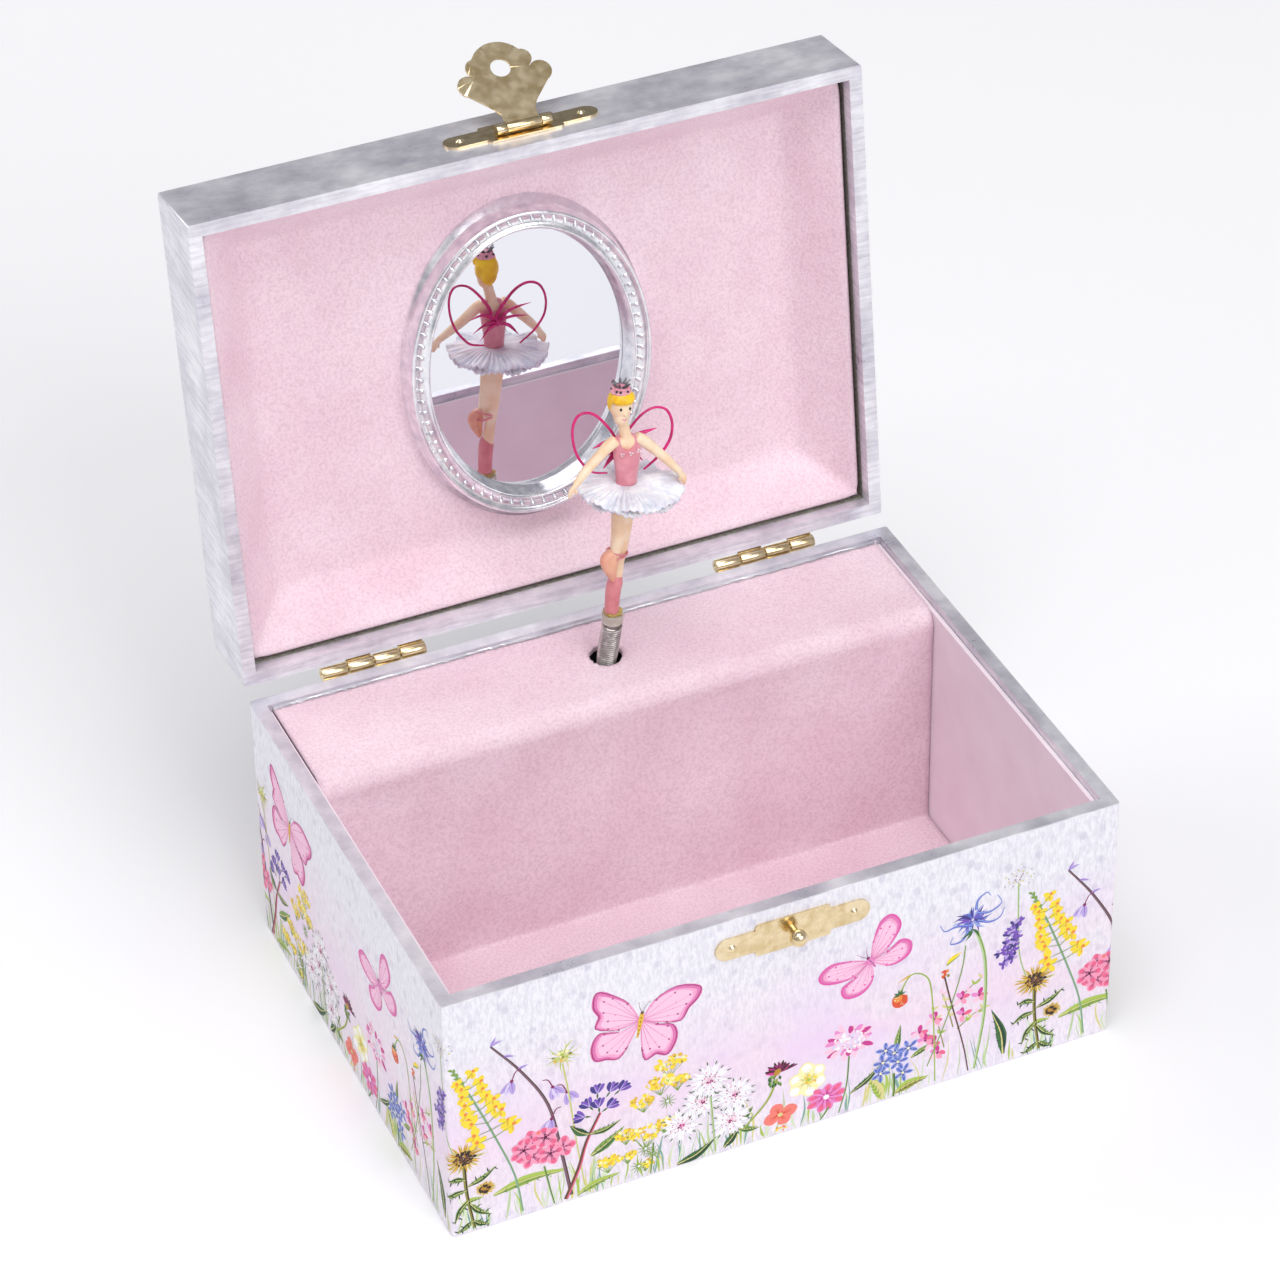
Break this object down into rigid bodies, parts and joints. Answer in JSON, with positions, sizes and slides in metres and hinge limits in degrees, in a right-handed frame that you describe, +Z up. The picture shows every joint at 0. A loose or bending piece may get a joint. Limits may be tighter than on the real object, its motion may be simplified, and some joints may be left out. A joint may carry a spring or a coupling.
{
  "type": "ballerina jewellery box",
  "caption": "Musical jewellery box: hinged lid with oval mirror and clasp, velour-lined compartment, and a dancer on a spring turned by a wind-up movement.",
  "frame": {"origin": "centre of the flat underside", "axes": "+Z up, +X to the right seen from the clasp side, +Y to the hinges at the back; the rest pose has the lid open on its stop"},
  "size_m": [0.154, 0.1561, 0.1868],
  "materials": {
    "board": "raw grey board",
    "base_paper": "matt",
    "printed_paper": "pearl print",
    "foil_paper": "brushed silver foil",
    "lining_paper": "smooth",
    "velour": "short pile",
    "silvered_plastic": "vacuum silvered",
    "mirror": "polished",
    "brass": "polished",
    "movement_brass": "turned",
    "steel": "bright",
    "key_metal": "nickel plated",
    "zinc": "die cast",
    "clear_plastic": "translucent",
    "doll_plastic": "painted",
    "tutu_plastic": "soft",
    "wing_plastic": "coloured",
    "fly_plastic": "moulded"
  },
  "bodies": {
    "casing": {"front_board": "board", "rear_board": "board", "left_board": "board", "right_board": "board", "floor_board": "board", "underside_sheet": "base_paper", "printed_wrap": "printed_paper", "rim_foil": "foil_paper", "left_lining": "lining_paper", "right_lining": "lining_paper", "front_lining": "lining_paper", "velour_insert": "velour", "hinge_base_leaves": "brass", "hinge_pins": "brass", "hinge_base_nails": "brass", "knob_plate": "brass", "clasp_knob": "brass", "knob_plate_pins": "brass", "movement_bedplate": "zinc", "movement_screws": "steel", "music_comb": "steel", "comb_screws": "steel", "governor_bracket": "zinc"},
    "lid": {"lid_front_board": "board", "lid_rear_board": "board", "lid_left_board": "board", "lid_right_board": "board", "lid_top_board": "board", "lid_foil_wrap": "foil_paper", "lid_lining": "velour", "mirror_frame": "silvered_plastic", "mirror_glass": "mirror", "hinge_lid_leaves": "brass", "hinge_lid_nails": "brass", "hasp_plate": "brass", "hasp_pin": "brass", "hasp_plate_pins": "brass"},
    "hasp": {"hasp_flap": "brass"},
    "dancer_lean": {"coil_spring": "steel"},
    "dancer": {"spring_cap": "clear_plastic", "dancer_figure": "doll_plastic", "dancer_crown": "silvered_plastic", "dancer_tutu": "tutu_plastic", "dancer_wings": "wing_plastic"},
    "spindle": {"spindle_shaft": "steel", "spindle_pinion": "movement_brass"},
    "drum": {"spring_drum": "movement_brass", "drum_cover": "movement_brass", "mainspring": "steel"},
    "key": {"winding_arbor": "steel", "winding_key": "key_metal"},
    "cylinder": {"music_cylinder": "movement_brass", "cylinder_arbor": "steel", "cylinder_pinion": "movement_brass", "cylinder_wheel": "movement_brass"},
    "governor": {"governor_pinion": "movement_brass", "governor_wheel": "movement_brass", "governor_arbor": "steel"},
    "fly": {"governor_fly": "fly_plastic"}
  },
  "joints": [
    {"name": "lid_hinge", "type": "hinge", "parent": "casing", "child": "lid", "pos_m": [0, 0.0573, 0.0636], "axis": [1, 0, 0], "range_deg": [0, 97.2]},
    {"name": "hasp_swing", "type": "hinge", "parent": "lid", "child": "hasp", "pos_m": [0.0008, 0.07817, 0.17612], "axis": [1, 0, 0], "range_deg": [0, 142.8]},
    {"name": "dancer_fold", "type": "hinge", "parent": "casing", "child": "dancer_lean", "pos_m": [0.0004, 0.03518, 0.0686], "axis": [1, 0, 0], "range_deg": [0, 112.5], "deforming": ["coil_spring"]},
    {"name": "dancer_spin", "type": "hinge", "parent": "dancer_lean", "child": "dancer", "pos_m": [0.00036, 0.03534, 0.072], "axis": [0.111, 0.0935, 0.9894], "continuous": true},
    {"name": "spindle_spin", "type": "hinge", "parent": "casing", "child": "spindle", "pos_m": [0.0004, 0.0392, 0.05], "axis": [0, 0, 1], "continuous": true},
    {"name": "drum_spin", "type": "hinge", "parent": "casing", "child": "drum", "pos_m": [0.0004, 0.045, 0.027], "axis": [0, 1, 0], "continuous": true},
    {"name": "key_turn", "type": "hinge", "parent": "casing", "child": "key", "pos_m": [0.0004, 0.06, 0.027], "axis": [0, 1, 0], "continuous": true},
    {"name": "cylinder_spin", "type": "hinge", "parent": "casing", "child": "cylinder", "pos_m": [0.029, 0.0392, 0.027], "axis": [1, 0, 0], "continuous": true},
    {"name": "governor_spin", "type": "hinge", "parent": "casing", "child": "governor", "pos_m": [0.05, 0.0392, 0.017], "axis": [1, 0, 0], "continuous": true},
    {"name": "fly_spin", "type": "hinge", "parent": "casing", "child": "fly", "pos_m": [0.05, 0.0317, 0.017], "axis": [0, 0, 1], "continuous": true}
  ],
  "couplings": [
    {"joint": "dancer_fold", "follows": "lid_hinge", "ratio": 1.1564},
    {"joint": "dancer_spin", "follows": "cylinder_spin", "ratio": 1},
    {"joint": "spindle_spin", "follows": "cylinder_spin", "ratio": 1},
    {"joint": "drum_spin", "follows": "cylinder_spin", "ratio": -0.25},
    {"joint": "governor_spin", "follows": "cylinder_spin", "ratio": -4},
    {"joint": "fly_spin", "follows": "cylinder_spin", "ratio": -120}
  ]
}
